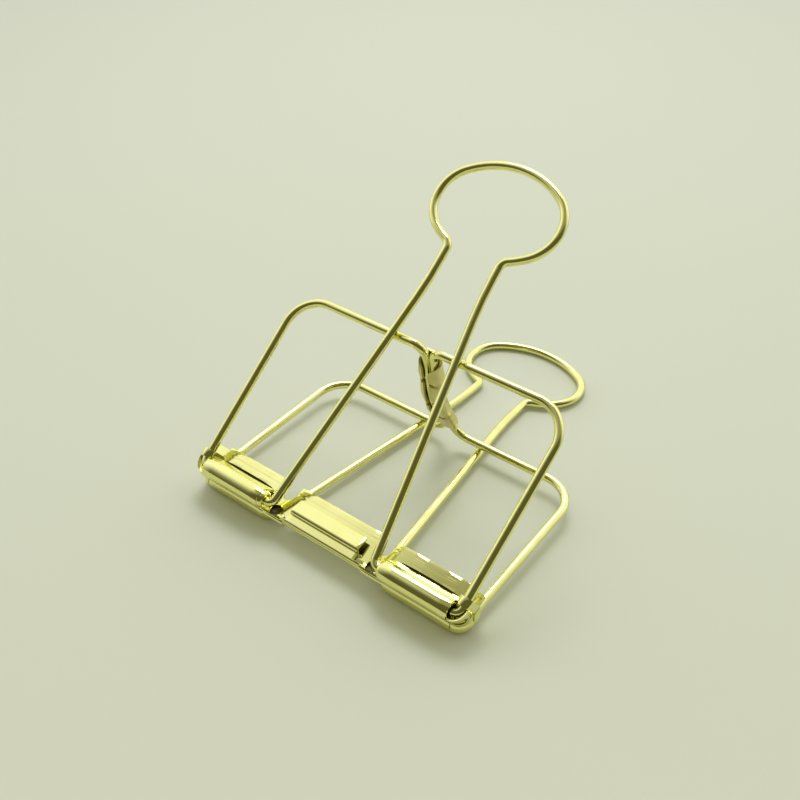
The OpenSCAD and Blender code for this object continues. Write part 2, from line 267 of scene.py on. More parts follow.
class StudioSetup(PropertyGroup):
    """The camera, the floor and the light."""

    azimuth: angle("Azimuth", "Camera's turn about Z", 37.88)
    elevation: angle("Elevation", "Camera's height", 38.34)
    distance: metres("Distance", "From the camera to the point it looks at", 0.16175)
    target: FloatVectorProperty(
        name="Target",
        description="Point that the camera looks at",
        default=(-0.00649, -0.00413, 0.00938),
        unit="LENGTH",
    )
    lens: number("Lens", "Focal length in millimetres", 44.88)
    floor: colour("Floor", "Colour of the floor", (0.65, 0.68, 0.59))
    screen: colour("Screen", "Colour of the pale screen behind the clip", (1, 1, 0.97))
    screen_level: number("Screen level", "Brightness of the screen", 1.14)
    screen_turn: angle("Screen turn", "Direction of the screen", -149)
    room: colour("Room", "Colour of the dim room in front of the clip", (0.11, 0.105, 0.05))
    ceiling: colour("Ceiling", "Colour of the ceiling", (0.33, 0.33, 0.23))
    lamp_distance: metres("Lamp distance", "From a lamp to the point it faces", 0.5)
    key_size: metres("Key size", "Width of the key light", 0.22)
    key_rise: number("Key rise", "Height of the key light, as a share of its reach", 1.6)
    key_power: number("Key light", "Power in watts", 0.9)
    fill_size: metres("Fill size", "Width of the fill light", 0.5)
    fill_rise: number("Fill rise", "Height of the fill light, as a share of its reach", 1.2)
    fill_power: number("Fill light", "Power in watts", 0.55)
    fill_tint: colour("Fill tint", "Colour of the fill light", (1, 0.93, 0.46))


# ---------------------------------------------------------------- flat paths


def heading(start, end):
    """The direction from one point to another, as an angle."""
    return math.atan2(end.y - start.y, end.x - start.x)


def arc(middle, radius, start, sweep):
    """Points round an arc, from the angle start on through sweep."""
    count = max(2, math.ceil(abs(sweep) / ARC_STEP))
    angles = (start + sweep * step / count for step in range(count + 1))
    return [Vector(middle) + radius * Vector((math.cos(a), math.sin(a))) for a in angles]


def bent(corners, radii):
    """The path through the corners, with each inner corner bent to its radius."""
    corners = [Vector(corner) for corner in corners]
    path = [corners[0]]
    for before, corner, after, radius in zip(corners, corners[1:], corners[2:], radii):
        turn = math.remainder(heading(corner, after) - heading(before, corner), math.tau)
        along = (corner - before).normalized()
        start = corner - along * radius * math.tan(abs(turn) / 2)
        middle = start + math.copysign(radius, turn) * Vector((-along.y, along.x))
        path += arc(middle, radius, heading(middle, start), turn)
    return path + [corners[-1]]


def without_repeats(path):
    """The path with points that lie on one another taken out."""
    kept = path[:1]
    for point in path[1:]:
        if (point - kept[-1]).length > SAME_PLACE:
            kept.append(point)
    return kept


def stepped(path, step):
    """The path with points added so that no run between two is longer than step."""
    fine = path[:1]
    for start, end in zip(path, path[1:]):
        count = max(1, math.ceil((end - start).length / step))
        fine += [start.lerp(end, i / count) for i in range(1, count + 1)]
    return fine


# ---------------------------------------------------------------- making pieces


def body_of(node):
    """The body that a CAD node belongs to."""
    bodies = frame["record"]["behaviour"]["bodies"]
    return next(body for body, nodes in bodies.items() if node in nodes)


def new_object(name, shape):
    """Turns a bmesh into an object in the scene."""
    data = bpy.data.meshes.new(name)
    shape.to_mesh(data)
    shape.free()
    made = bpy.data.objects.new(name, data)
    bpy.context.scene.collection.objects.link(made)
    return made


def new_piece(name, shape, node, material):
    """Turns a bmesh into a smooth object that rides with its CAD node and stands for it."""
    bmesh.ops.remove_doubles(shape, verts=shape.verts, dist=SAME_PLACE)
    bmesh.ops.recalc_face_normals(shape, faces=shape.faces)
    for face in shape.faces:
        face.smooth = True
    for edge in shape.edges:
        edge.smooth = edge.calc_face_angle(0) < FLAT_TURN
    piece = new_object(name, shape)
    piece.data.materials.append(material)
    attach(piece, body_of(node))
    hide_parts(node)
    return piece


def add_rings(shape, rings, closed=False):
    """Joins each ring of points to the next with faces, and caps the ends unless closed."""
    made = [[shape.verts.new(point) for point in ring] for ring in rings]
    pairs = list(zip(made, made[1:]))
    if closed:
        pairs.append((made[-1], made[0]))
    for lower, upper in pairs:
        for i in range(len(lower)):
            shape.faces.new((lower[i - 1], lower[i], upper[i], upper[i - 1]))
    if not closed:
        shape.faces.new(reversed(made[0]))
        shape.faces.new(made[-1])
    return made


def wire_piece(name, path, plane, node, wire, frame_sizes=None):
    """A round wire along a flat path, which the matrix plane carries into the clip's space.

    A wire that runs down the spine is bowed by the frame's sizes.
    """
    shape = bmesh.new()
    run = shape.verts.layers.float_vector.new("run")
    path = without_repeats(path)
    radius = wire.diameter / 2 - wire.trim
    done = 0.0
    rings = []
    marks = []
    for i, point in enumerate(path):
        before = (point - path[i - 1]).normalized() if i else (path[1] - point).normalized()
        after = (path[i + 1] - point).normalized() if i < len(path) - 1 else before
        along = (before + after).normalized()
        across = Vector((-along.y, along.x))
        done += (point - path[i - 1]).length if i else 0.0
        ring = []
        for side in range(wire.sides):
            turn = math.tau * side / wire.sides
            flat = point + across * radius * math.cos(turn)
            ring.append(plane @ Vector((flat.x, flat.y, radius * math.sin(turn))))
            marks.append(Vector((math.cos(turn), math.sin(turn), done / radius)))
        rings.append(ring)
    made = add_rings(shape, rings)
    for vertex, mark in zip((vertex for ring in made for vertex in ring), marks):
        vertex[run] = mark
    if frame_sizes is not None:
        add_bow(shape, frame_sizes)
    shape.transform(CLIP)
    new_piece(name, shape, node, finish("gold_wire"))


def add_sheet(shape, columns):
    """Faces between neighbouring columns of points, each as long as the next."""
    made = [[shape.verts.new(point) for point in column] for column in columns]
    for left, right in zip(made, made[1:]):
        for i in range(len(left) - 1):
            shape.faces.new((left[i], left[i + 1], right[i + 1], right[i]))


def thicken(piece, thickness, edge, cutters=()):
    """Gives a surface without thickness its thickness, its holes and its rounded edges."""
    sheet = piece.modifiers.new("Sheet", "SOLIDIFY")
    sheet.thickness = thickness
    sheet.offset = 0
    sheet.use_even_offset = True
    for cutter in cutters:
        hole = piece.modifiers.new("Hole", "BOOLEAN")
        hole.object = cutter
        hole.solver = "EXACT"
    rounding = piece.modifiers.new("Edges", "BEVEL")
    rounding.width = edge
    rounding.segments = 2
    rounding.limit_method = "ANGLE"
    rounding.angle_limit = FLAT_TURN
    shading = piece.modifiers.new("Shading", "WEIGHTED_NORMAL")
    shading.keep_sharp = True
    graph = bpy.context.evaluated_depsgraph_get()
    shaped = bpy.data.meshes.new_from_object(piece.evaluated_get(graph))
    piece.modifiers.clear()
    piece.data = shaped
    for cutter in cutters:
        bpy.data.objects.remove(cutter)


# ---------------------------------------------------------------- the finishes


def new_node(nodes, kind, values):
    """A shader node with some of its inputs set."""
    node = nodes.new(kind)
    for socket, value in values.items():
        node.inputs[socket].default_value = value
    return node


def noise_at(nodes, links, vector, scale, detail, roughness=0.5):
    """A noise texture read at a vector socket."""
    values = {"Scale": scale, "Detail": detail, "Roughness": roughness}
    noise = new_node(nodes, "ShaderNodeTexNoise", values)
    links.new(vector, noise.inputs["Vector"])
    return noise.outputs["Fac"]


def spread(nodes, links, value, low, high):
    """A noise's middle range stretched between two values."""
    values = {"From Min": 0.3, "From Max": 0.7, "To Min": low, "To Max": high}
    mapped = new_node(nodes, "ShaderNodeMapRange", values)
    links.new(value, mapped.inputs["Value"])
    return mapped.outputs["Result"]


def plating(name, place, stretch, bright, deep, gloss, mottle, depth):
    """Gold plating with drawn streaks, faint mottling and fine pits of a depth in metres."""
    material = bpy.data.materials.new(name)
    material.use_nodes = True
    nodes, links = material.node_tree.nodes, material.node_tree.links
    metal = nodes["Principled BSDF"]
    metal.inputs["Metallic"].default_value = 1
    if place == "run":
        source = nodes.new("ShaderNodeAttribute")
        source.attribute_name = "run"
        start = source.outputs["Vector"]
    else:
        source = nodes.new("ShaderNodeTexCoord")
        start = source.outputs["Object"]
    drawn = new_node(nodes, "ShaderNodeMapping", {"Scale": stretch})
    links.new(start, drawn.inputs["Vector"])
    streaks = noise_at(nodes, links, drawn.outputs["Vector"], 6, 4, 0.6)
    clouds = noise_at(nodes, links, start, mottle, 3)
    pits = noise_at(nodes, links, start, mottle * 24, 2)
    tint = nodes.new("ShaderNodeMix")
    tint.data_type = "RGBA"
    tint.inputs["A"].default_value = (*deep, 1)
    tint.inputs["B"].default_value = (*bright, 1)
    links.new(spread(nodes, links, clouds, 0.25, 1), tint.inputs["Factor"])
    links.new(tint.outputs["Result"], metal.inputs["Base Color"])
    links.new(spread(nodes, links, streaks, gloss * 0.75, gloss * 1.3), metal.inputs["Roughness"])
    normal = None
    values = {"Strength": bpy.context.scene.clip_plating.bump, "Distance": depth}
    for height in (pits, streaks):
        relief = new_node(nodes, "ShaderNodeBump", values)
        links.new(height, relief.inputs["Height"])
        if normal:
            links.new(normal, relief.inputs["Normal"])
        normal = relief.outputs["Normal"]
    links.new(normal, metal.inputs["Normal"])
    return material


def finish(name):
    """One of the clip's four finishes, made when it is first asked for."""
    if name in bpy.data.materials:
        return bpy.data.materials[name]
    look = bpy.context.scene.clip_plating
    # The second pair is painted shade: a dark colour put in the jaws' hollows, where shade falls
    gold, hollow_shade = (look.bright, look.deep), (look.inside, look.inside)
    crimped = (look.crimped, look.deep)
    along_sheet = (60, 900, 900)
    recipes = {
        "gold_wire": ("run", (3, 3, 0.06), *gold, look.wire_gloss, 0.5, 0.00004),
        "gold_sheet": ("object", along_sheet, *gold, look.sheet_gloss, 260, 0.00003),
        # Painted shade: the dark finish that stands in for the shade in the jaws' hollows
        "painted_shade_sheet": ("object", along_sheet, *hollow_shade, look.inside_gloss, 260, 0.00003),
        "crimped_gold": ("object", (500, 500, 500), *crimped, look.crimp_gloss, 700, 0.00006),
    }
    return plating(name, *recipes[name])


# ---------------------------------------------------------------- the frame's wires


def rail_end(flare, sizes):
    """Where the straight rail starts, past the bend of a shoulder."""
    lean = math.atan2(FRAME_LENGTH, flare)
    return sizes.leg_span / 2 + flare - sizes.shoulder * math.tan((math.pi - lean) / 2) - RAIL_STUB


def add_bow(shape, sizes):
    """Bows what stands between the rails toward the mouth, in the clip's own space."""
    for vertex in shape.verts:
        still_free = 1 - min(1, abs(vertex.co.z) / (RAIL_Z - sizes.bow_start)) ** 2
        vertex.co.y -= sizes.bow * still_free**2


class CLIP_OT_frame_legs(Operator):
    """Bend the four legs of the frame, each with its foot and its shoulder"""

    bl_idname = "clip.frame_legs"
    bl_label = "Frame Legs"

    def execute(self, context):
        wire, sizes = context.scene.clip_wire, context.scene.clip_frame
        leg_x = sizes.leg_span / 2
        for depth, flare in (("front", sizes.front_flare), ("rear", sizes.rear_flare)):
            corners = [
                (leg_x - wire.foot, 0),
                (leg_x, 0),
                (leg_x + flare, FRAME_LENGTH),
                (rail_end(flare, sizes), FRAME_LENGTH),
            ]
            path = bent(corners, [wire.foot_bend, sizes.shoulder])
            for side, mirror in RIGHT_LEFT.items():
                plane = FRONT_REAR[depth] @ mirror @ leaning(FRAME_LEAN)
                node = f"{depth}_{side}_leg"
                wire_piece(f"{node}_wire", path, plane, node, wire)
        return {"FINISHED"}


class CLIP_OT_spine_wires(Operator):
    """Bend the two wires that run along the rails and down the spine"""

    bl_idname = "clip.spine_wires"
    bl_label = "Spine Wires"

    def execute(self, context):
        wire, sizes = context.scene.clip_wire, context.scene.clip_frame
        spine_x = wire.diameter / 2 + wire.clearance
        corners = [
            (rail_end(sizes.front_flare, sizes), RAIL_Z),
            (spine_x, RAIL_Z),
            (spine_x, -RAIL_Z),
            (rail_end(sizes.rear_flare, sizes), -RAIL_Z),
        ]
        path = stepped(bent(corners, [sizes.front_bend, sizes.rear_bend]), sizes.drawn_step)
        upright = Matrix.Translation((0, RAIL_Y, 0)) @ Matrix.Rotation(math.pi / 2, 4, "X")
        for side, mirror in RIGHT_LEFT.items():
            node = f"{side}_spine_wire"
            wire_piece(f"{node}_bent", path, mirror @ upright, node, wire, sizes)
        return {"FINISHED"}


# ---------------------------------------------------------------- the handles


def handle_path(wire, sizes):
    """The middle of a handle's wire, from its right foot round the loop to its left foot."""
    pivot_x, neck_x = sizes.pivot_span / 2, sizes.neck_span / 2
    half_height = sizes.loop_height / 2
    loop_y = sizes.length - half_height
    side_x = sizes.loop_width / 2 - sizes.loop_side
    cap = (side_x**2 + half_height**2 - sizes.loop_side**2) / (2 * (half_height - sizes.loop_side))
    cap_offset = cap - half_height
    join = math.atan2(cap_offset, side_x)
    neck_middle_x = neck_x + sizes.neck_bend
    reach = math.sqrt((cap + sizes.neck_bend) ** 2 - neck_middle_x**2)
    neck_middle_y = loop_y + cap_offset - reach
    neck = math.atan2(reach, neck_middle_x)
    waist_y = neck_middle_y - sizes.parallel
    corners = [(pivot_x + wire.foot, 0), (pivot_x, 0), (neck_x, waist_y), (neck_x, neck_middle_y)]
    half = bent(corners, [wire.foot_bend, sizes.waist_bend])
    half += arc((neck_middle_x, neck_middle_y), sizes.neck_bend, math.pi, -neck)
    half += arc((0, loop_y + cap_offset), cap, -neck, neck - join)
    half += arc((side_x, loop_y), sizes.loop_side, -join, 2 * join)
    half += arc((0, loop_y - cap_offset), cap, join, math.pi / 2 - join)
    return half + [Vector((-point.x, point.y)) for point in reversed(half)]


class CLIP_OT_handles(Operator):
    """Bend the two looped handles, at rest against the rails"""

    bl_idname = "clip.handles"
    bl_label = "Handles"

    def execute(self, context):
        wire, sizes = context.scene.clip_wire, context.scene.clip_handle
        lean = FRAME_LEAN + math.asin((wire.diameter + sizes.rest_gap) / FRAME_LENGTH)
        path = handle_path(wire, sizes)
        for depth, flip in FRONT_REAR.items():
            node = f"{depth}_handle"
            plane = flip @ leaning(lean)
            wire_piece(f"{node}_wire", path, plane, node, wire)
        return {"FINISHED"}


# ---------------------------------------------------------------- the jaws


# Lines pressed along a pad: the distance from its rear edge, and the depth as a share of the
# rear edge's tilt
PRESSED_LINES = (
    (0, 1),
    (0.0005, 0),
    (0.00066, 0.6),
    (0.0008, 0),
    (0.0011, 0),
    (0.0012, 0.5),
    (0.0014, 0),
)
# Where a roll's sheet turns from its round into its straight tail, from level
ROLL_STOP = math.radians(30)
# How far a gutter turns up in front of a notch
GUTTER_TURN = math.radians(54)
# Distances behind the roll's middle between which the groove's walls lie, and the pad is painted
# with shade
GROOVE_WALLS = (0.0015, 0.0031)
# Where the shell round a foot's bend starts, below level, and how far round the wire it goes
SHELL_START, SHELL_SWEEP = math.radians(-35), math.radians(62)
# Sides of a drawn relief or collar
ROUND_SIDES = 48


class JawPlan:
    """Places along and across a jaw that its pieces share, worked out from its sizes."""

    def __init__(self, context):
        scene = context.scene
        self.wire, self.jaw = scene.clip_wire, scene.clip_jaw
        self.leg_x = scene.clip_frame.leg_span / 2
        self.pivot_x = scene.clip_handle.pivot_span / 2
        self.roll_out = self.leg_x - self.wire.foot_bend - self.wire.play
        self.roll_in = self.pivot_x + self.wire.foot_bend + self.wire.play
        self.roll_start = self.roll_in + self.jaw.collar_out
        self.roll_radius = self.jaw.roll / 2
        self.bend_radius = self.roll_radius - self.jaw.sheet / 2
        self.pad_z = ROLL_Z - self.bend_radius
        self.notch_x = (self.jaw.lip_width / 2 + self.roll_in) / 2
        self.notch_top = self.jaw.notch_floor + self.jaw.notch / 2
        self.strap_radius = self.wire.diameter / 2 + self.wire.clearance + self.jaw.sheet / 2
        self.strap_back = self.jaw.strap + self.wire.diameter / 2

    def pad_rows(self):
        """Distances behind the roll's middle at which the pad has a row, from its rear edge."""
        rear = [self.jaw.pad - back for back, _ in PRESSED_LINES]
        front = [self.notch_top * step / 3 for step in (3, 2, 1, 0)]
        return [*rear, self.strap_back, *front]

    def pad_points(self, rows):
        """The pad's middle surface at some rows, with lines pressed into it."""
        pressed = {self.jaw.pad - back: depth for back, depth in PRESSED_LINES}
        tilt = self.jaw.rear_tilt
        return [Vector((row, self.pad_z - tilt * pressed.get(row, 0))) for row in rows]

    def roll_points(self, gap):
        """The roll's middle surface, round the front to a tail above the pad."""
        round_part = arc((0, ROLL_Z), self.bend_radius, -math.pi / 2, ROLL_STOP - 1.5 * math.pi)
        pad_top = self.pad_z + self.jaw.sheet / 2
        half_end = self.jaw.sheet / 2 * math.sin(ROLL_STOP)
        drop = round_part[-1].y - half_end - pad_top - max(gap, self.jaw.end_gap)
        tail = Vector((math.tan(ROLL_STOP), -1)) * drop
        return round_part[1:] + [round_part[-1] + tail]

    def gutter_points(self):
        """The open gutter in front of a notch."""
        return arc((0, ROLL_Z), self.bend_radius, -math.pi / 2, -GUTTER_TURN)[1:]

    def fold_points(self):
        """The folded lip and the raised fold."""
        jaw = self.jaw
        half = jaw.sheet / 2
        lip_y, lip_z = half - jaw.lip_reach, jaw.lip_height - half
        step_y, fold_z = jaw.fold_front + half, jaw.fold_height - half
        corners = [
            (0, self.pad_z),
            (lip_y, self.pad_z),
            (lip_y + jaw.tight_bend / 2, lip_z),
            (step_y, lip_z + half / 4),
            (step_y, fold_z),
            (jaw.fold_depth, fold_z - jaw.fold_fall),
        ]
        return bent(corners, [jaw.tight_bend] * 3 + [jaw.fold_bend])[1:]


def blend_in(value):
    """A smooth rise from 0 to 1."""
    return value * value * (3 - 2 * value)


def jaw_column(x, points):
    """A column of the jaw's surface at one place along it."""
    return [Vector((x, point.x, point.y)) for point in points]


def add_jaw_surface(shape, plan):
    """The middle surface of the jaw: pad, notches, rolls, gutters, lip and fold."""
    jaw = plan.jaw
    pad = plan.pad_points(plan.pad_rows())
    fold = plan.fold_points()
    lip = [point for point in fold if point.y < plan.pad_z + jaw.fold_height / 2 and point.x < 0]
    gutter = plan.gutter_points()
    fold_x, lip_x = jaw.fold_width / 2, jaw.lip_width / 2
    notch_in, notch_out = plan.notch_x - jaw.notch / 2, plan.notch_x + jaw.notch / 2
    fold_end = fold_x - jaw.sheet
    add_sheet(shape, [jaw_column(x, pad + fold) for x in (-fold_x, -fold_end, fold_end, fold_x)])
    stretches = [
        (fold_x, lip_x, lip),
        (lip_x, notch_in, gutter),
        (notch_out, plan.roll_start, gutter),
    ]
    rise = [(0, 0)]
    for step in range(5):
        opened = step / 4
        rise.append((jaw.closed + jaw.taper * opened, jaw.tail_gap * blend_in(opened)))
    roll = [(plan.roll_start + along, gap) for along, gap in rise]
    roll += [(plan.roll_out - along, gap) for along, gap in reversed(rise)]
    around = arc((plan.notch_x, plan.notch_top), jaw.notch / 2, math.pi, math.pi)
    foot = plan.pad_points(plan.pad_rows()[1:])
    for side in (1, -1):
        for start, end, front in stretches:
            add_sheet(shape, [jaw_column(side * x, pad + front) for x in (start, end)])
        add_sheet(shape, [jaw_column(side * x, pad + plan.roll_points(gap)) for x, gap in roll])
        columns = []
        for point in around:
            # The rows draw together round the notch, and its floor ends up behind notch_floor
            rows = [row * point.y / plan.notch_top for row in plan.pad_rows()[2:]]
            columns.append(jaw_column(side * point.x, plan.pad_points(rows) + gutter))
        add_sheet(shape, columns)
        strap_side = plan.leg_x + plan.strap_radius
        add_sheet(shape, [jaw_column(side * x, foot) for x in (plan.roll_out, strap_side)])


def add_strap(shape, plan, flare):
    """The right strap: a hoop round the leg above its foot, and a shell round the foot's bend."""
    radius = plan.strap_radius
    lean = leaning(FRAME_LEAN) @ Matrix.Translation((plan.leg_x, 0, 0))
    lean = lean @ Matrix.Rotation(-math.atan2(flare, FRAME_LENGTH), 4, "Z")
    hoop_start = plan.wire.diameter / 2 + plan.jaw.hoop_start
    over = arc((0, 0), radius, math.pi, -math.pi)

    def hoop_row(y):
        """One row of the hoop, from its inner foot over the wire to its outer foot."""
        foot = -(ROLL_Z - plan.pad_z + y * math.sin(FRAME_LEAN)) / math.cos(FRAME_LEAN)
        flat = [Vector((-radius, foot)), *over, Vector((radius, foot))]
        return [lean @ Vector((point.x, y, point.y)) for point in flat]

    add_sheet(shape, [hoop_row(y) for y in (hoop_start, plan.jaw.strap)])
    bend = plan.wire.foot_bend
    steps = 12
    rows = []
    for step in range(steps + 1):
        turn = math.pi / 2 * step / steps
        shell = plan.bend_radius + (radius - plan.bend_radius) * blend_in(step / steps)
        points = []
        for side in arc((0, 0), shell, SHELL_START, SHELL_SWEEP):
            reach = bend + side.x
            x, y = reach * math.sin(turn) - bend, bend - reach * math.cos(turn)
            points.append(lean @ Vector((x, y, side.y)))
        rows.append([Vector((points[0].x, points[0].y, plan.pad_z)), *points])
    add_sheet(shape, rows)


def new_cutter(name, shape):
    """Turns a bmesh into an object that cuts a hole and is then removed."""
    bmesh.ops.recalc_face_normals(shape, faces=shape.faces)
    return new_object(name, shape)


def relief_cutter(plan, place):
    """A cutter for the round relief in front of a notch, whose floor follows the gutter."""
    shape = bmesh.new()
    radius, depth = plan.jaw.relief / 2, plan.roll_radius - plan.jaw.sheet / 8

    def ring(size, floor=None):
        """One ring of the cutter, level or on the floor."""
        points = []
        for step in range(ROUND_SIDES):
            turn = math.tau * step / ROUND_SIDES
            y = plan.jaw.relief_y + size * math.sin(turn)
            height = ROLL_Z - math.sqrt(depth**2 - min(0, y) ** 2) if floor is None else floor
            points.append(place @ Vector((plan.notch_x + size * math.cos(turn), y, height)))
        return points

    floors = [ring(radius * part) for part in (1, 0.85, 0.7, 0.5, 0.3, 0.1)]
    add_rings(shape, [ring(radius, ROLL_Z), *floors])
    return new_cutter("relief_cutter", shape)


def groove_cutter(plan, place):
    """A long cutter for the groove in the pad behind a roll's tail, narrow at both ends."""
    shape = bmesh.new()
    jaw = plan.jaw
    start, end = plan.roll_start + jaw.groove_inner, plan.roll_out - jaw.groove_outer
    floor, top = plan.pad_z - jaw.sheet / 4, plan.pad_z + (jaw.sheet + jaw.end_gap) / 2
    narrowest, roundness, steps = 0.06, 0.35, 16
    rings = []
    for step in range(steps + 1):
        along = step / steps
        swell = (1 - narrowest) * math.sin(math.pi * along) ** roundness
        half = jaw.groove / 2 * (narrowest + swell)
        x = start + (end - start) * along
        corners = ((-half, floor), (half, floor), (half, top), (-half, top))
        rings.append([place @ Vector((x, jaw.groove_y + y, z)) for y, z in corners])
    add_rings(shape, rings)
    return new_cutter("groove_cutter", shape)


def add_collar(shape, plan, place):
    """The narrowed inner end of a roll, with a round nose and a bore for the handle's foot."""
    jaw = plan.jaw
    bore = plan.wire.diameter / 2 + plan.wire.bore
    outer = plan.roll_radius - jaw.sheet / 3
    profile = [Vector((jaw.collar, bore)), Vector((0, bore))]
    for point in arc((1, 0), 1, math.pi, -math.pi / 2):
        profile.append(Vector((jaw.nose * point.x, outer - jaw.nose_fall * (1 - point.y))))
    profile.append(Vector((jaw.collar, outer)))
    rings = []
    for step in range(ROUND_SIDES):
        turn = math.tau * step / ROUND_SIDES
        ring = []
        for point in profile:
            y, z = point.y * math.cos(turn), ROLL_Z + point.y * math.sin(turn)
            ring.append(place @ Vector((plan.roll_in + point.x, y, z)))
        rings.append(ring)
    add_rings(shape, rings, closed=True)


def in_shaded_hollow(place, plan):
    """Whether a point on the jaw is in a roll, a groove or a relief, or under the raised fold,
    where shade is painted.
    """
    jaw = plan.jaw
    across, height = abs(place.x), place.z - plan.pad_z
    if plan.roll_start < across < plan.roll_out:
        if math.hypot(place.y, place.z - ROLL_Z) < plan.bend_radius - jaw.sheet / 4:
            return True
        near, far = GROOVE_WALLS
        if near < place.y < far and -jaw.sheet / 3 < height < jaw.sheet * 0.45:
            return True
    from_relief = math.hypot(across - plan.notch_x, place.y - jaw.relief_y)
    sunk = math.hypot(min(0, place.y), place.z - ROLL_Z) > plan.bend_radius - jaw.sheet * 0.4
    if from_relief < jaw.relief * 0.505 and sunk and height > -jaw.sheet * 0.47:
        return True
    fold_front = jaw.fold_front + jaw.sheet * 0.7
    fold_top = jaw.fold_height - jaw.fold_fall - jaw.sheet * 0.7
    behind_face = fold_front < place.y < jaw.fold_depth - jaw.sheet
    in_fold = across < jaw.fold_width / 2 - jaw.edge
    return in_fold and behind_face and plan.pad_z < place.z < fold_top


def paint_hollow_shade(sheet, plan, to_jaw):
    """Paints shade: the faces in the rolls, grooves and reliefs and under the raised fold get a
    dark finish that stands in for the shade there.
    """
    sheet.data.materials.append(finish("painted_shade_sheet"))
    for face in sheet.data.polygons:
        if in_shaded_hollow(to_jaw @ face.center, plan):
            face.material_index = 1


class CLIP_OT_jaws(Operator):
    """Fold and roll the two jaws, with their notches, collars and straps"""

    bl_idname = "clip.jaws"
    bl_label = "Jaws"

    def execute(self, context):
        plan = JawPlan(context)
        frame_sizes = context.scene.clip_frame
        flares = {"front": frame_sizes.front_flare, "rear": frame_sizes.rear_flare}
        for depth, flip in FRONT_REAR.items():
            node = f"{depth}_jaw"
            place = CLIP @ flip
            surface = bmesh.new()
            add_jaw_surface(surface, plan)
            surface.transform(place)
            sheet = new_piece(f"{node}_sheet", surface, node, finish("gold_sheet"))
            cutters = []
            for mirror in RIGHT_LEFT.values():
                cutters.append(relief_cutter(plan, place @ mirror))
                cutters.append(groove_cutter(plan, place @ mirror))
            thicken(sheet, plan.jaw.sheet, plan.jaw.edge, cutters)
            # Painted shade in the rolls, grooves and reliefs and under the raised fold
            paint_hollow_shade(sheet, plan, place.inverted())
            for side, mirror in RIGHT_LEFT.items():
                strap = bmesh.new()
                add_strap(strap, plan, flares[depth])
                strap.transform(place @ mirror)
                band = new_piece(f"{node}_{side}_strap", strap, node, finish("gold_sheet"))
                thicken(band, plan.jaw.sheet, plan.jaw.edge)
                collar = bmesh.new()
                add_collar(collar, plan, place @ mirror)
                new_piece(f"{node}_{side}_collar", collar, node, finish("gold_sheet"))
        return {"FINISHED"}


# ---------------------------------------------------------------- the sleeve


# Heights in metres at which each side's tabs are broken, with the tabs' ends
TAB_BREAKS = {
    "right": (-0.0077, -0.0041, 0.0002, 0.0042, 0.0072),
    "left": (-0.0077, -0.0052, -0.0012, 0.0045, 0.0078),
}
# How much of a tab's width is missing at a break
BREAK_DEPTH = 0.85


def tent(z, breaks):
    """How far a tab is pushed out at a height: 0 at its breaks and 1 in its middle."""
    for low, high in zip(breaks, breaks[1:]):
        if low <= z <= high:
            return 1 - abs(2 * (z - low) / (high - low) - 1)
    return 0.0


def cut_back(z, sizes, side, x, y):
    """How much of a tab's length is missing at a height, at its breaks and at its upper end."""
    tab = x - (sizes.left_edge if side == "left" else -sizes.right_edge)
    breaks = TAB_BREAKS[side]
    missing = 0.0
    for place in breaks[1:-1]:
        nearness = min(1, max(0, 1.6 - abs(z - place) / sizes.tab_break * 2))
        missing = max(missing, tab * BREAK_DEPTH * nearness)
    slope = (z - breaks[-1] + sizes.slant) / (2 * sizes.slant)
    wrapped = tab + 2 * y + x - sizes.seam_side - sizes.corner
    if slope > 0:
        missing = max(missing, min(wrapped, wrapped * slope**2))
    return missing


def resampled(path, start, end, count):
    """Evenly spaced points of a path, between two distances along it."""
    done = [0.0]
    for before, after in zip(path, path[1:]):
        done.append(done[-1] + (after - before).length)
    points = []
    for step in range(count + 1):
        place = start + (done[-1] - end - start) * step / count
        i = max(i for i in range(len(path) - 1) if done[i] <= place + SAME_PLACE)
        part = (place - done[i]) / (done[i + 1] - done[i])
        points.append(path[i].lerp(path[i + 1], part))
    return points


class CLIP_OT_sleeve(Operator):
    """Crimp the sleeve round the two wires of the spine"""

    bl_idname = "clip.sleeve"
    bl_label = "Spine Sleeve"

    def execute(self, context):
        sizes, wire = context.scene.clip_sleeve, context.scene.clip_wire
        half = sizes.thickness / 2
        x = wire.diameter + 3 * wire.clearance + half
        y = wire.diameter / 2 + wire.clearance + half
        shape = bmesh.new()
        steps, points_across = 150, 72
        columns = []
        for step in range(steps + 1):
            z = sizes.low + (sizes.high - sizes.low) * step / steps
            tents = {side: tent(z, breaks) for side, breaks in TAB_BREAKS.items()}
            left, right = (x + sizes.bulge * tents[side] for side in ("left", "right"))
            corners = [
                (-sizes.left_edge, -y - sizes.bulge * tents["left"]),
                (-left, -y),
                (-left, y),
                (right, y),
                (right, -y),
                (sizes.right_edge, -y - sizes.bulge * tents["right"]),
            ]
            section = bent(corners, [sizes.corner] * 4)
            trims = [cut_back(z, sizes, side, x, y) for side in ("left", "right")]
            column = resampled(without_repeats(section), *trims, points_across)
            columns.append([Vector((point.x, RAIL_Y + point.y, z)) for point in column])
        add_sheet(shape, columns)
        add_bow(shape, context.scene.clip_frame)
        shape.transform(CLIP)
        sleeve = new_piece("spine_sleeve_crimp", shape, "spine_sleeve", finish("crimped_gold"))
        thicken(sleeve, sizes.thickness, sizes.thickness / 4)
        return {"FINISHED"}


# ---------------------------------------------------------------- the studio


# Where the room turns into the screen, by how far a direction points behind the clip, and
# where the walls turn into the ceiling, by how far it points up
SCREEN_EDGE = (-0.45, 0.4)
CEILING_EDGE = (0.88, 0.935)
FLOOR_HALF_WIDTH = 1.5
FLOOR_ROUGHNESS = 0.8


